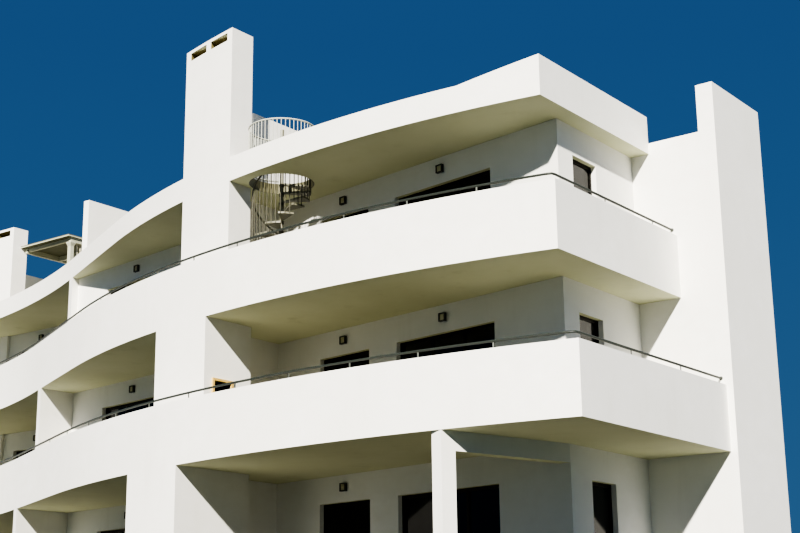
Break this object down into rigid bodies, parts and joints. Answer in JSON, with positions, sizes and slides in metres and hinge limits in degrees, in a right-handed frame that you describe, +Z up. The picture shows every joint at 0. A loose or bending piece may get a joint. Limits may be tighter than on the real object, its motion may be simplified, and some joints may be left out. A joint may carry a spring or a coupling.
{
  "type": "apartment block",
  "caption": "Three-storey white apartment block with wave-shaped balcony parapets, chimney towers, a spiral stair to the roof and a roof pergola.",
  "frame": {"origin": "middle of the overall length and depth of the building, at ground level under the ground floor plate", "axes": "+X along the front to the right as seen from outside, +Y from the wave front to the rear, +Z up"},
  "size_m": [26.3119, 16.66, 12.52],
  "materials": {
    "white_render": "fine lime render, painted white",
    "rendered_slab": "render on the underside, concrete floor on top",
    "window_frame": "powder coated, satin",
    "window_glass": "dark tinted, smooth",
    "handrail_steel": "dark grey-green paint, satin",
    "stair_steel": "pale grey paint, satin",
    "lamp_housing": "black paint, satin",
    "hearth_firebrick": "ochre firebrick, matt",
    "pergola_paint": "white paint, satin",
    "pergola_sheet": "weathered boards",
    "pergola_timber": "grey weathered timber"
  },
  "bodies": {
    "root": {"chimney_piers_first": "white_render", "chimney_piers_ground": "white_render", "chimney_towers": "white_render", "corner_beam": "white_render", "corner_pier": "white_render", "end_block_first": "white_render", "end_block_ground": "white_render", "end_block_second": "white_render", "first_floor_slab": "rendered_slab", "first_handrail": "handrail_steel", "first_parapet": "white_render", "front_walls_first": "white_render", "front_walls_ground": "white_render", "front_walls_second": "white_render", "gable_walls_first": "white_render", "gable_walls_ground": "white_render", "gable_walls_second": "white_render", "ground_slab": "rendered_slab", "hearth_frame": "hearth_firebrick", "party_walls_first": "white_render", "party_walls_ground": "white_render", "party_walls_second": "white_render", "pergola_frame": "pergola_paint", "pergola_roof": "pergola_sheet", "pergola_slats": "pergola_timber", "rear_walls_first": "white_render", "rear_walls_ground": "white_render", "rear_walls_second": "white_render", "roof_fins": "white_render", "roof_parapet": "white_render", "roof_slab": "rendered_slab", "second_floor_slab": "rendered_slab", "second_handrail": "handrail_steel", "second_parapet": "white_render", "stair_pole": "stair_steel", "stair_railing": "stair_steel", "stair_treads": "stair_steel", "wall_lamps": "lamp_housing", "well_railing": "stair_steel", "window_frames_first": "window_frame", "window_frames_ground": "window_frame", "window_frames_second": "window_frame", "window_glass_first": "window_glass", "window_glass_ground": "window_glass", "window_glass_second": "window_glass"}
  },
  "joints": []
}
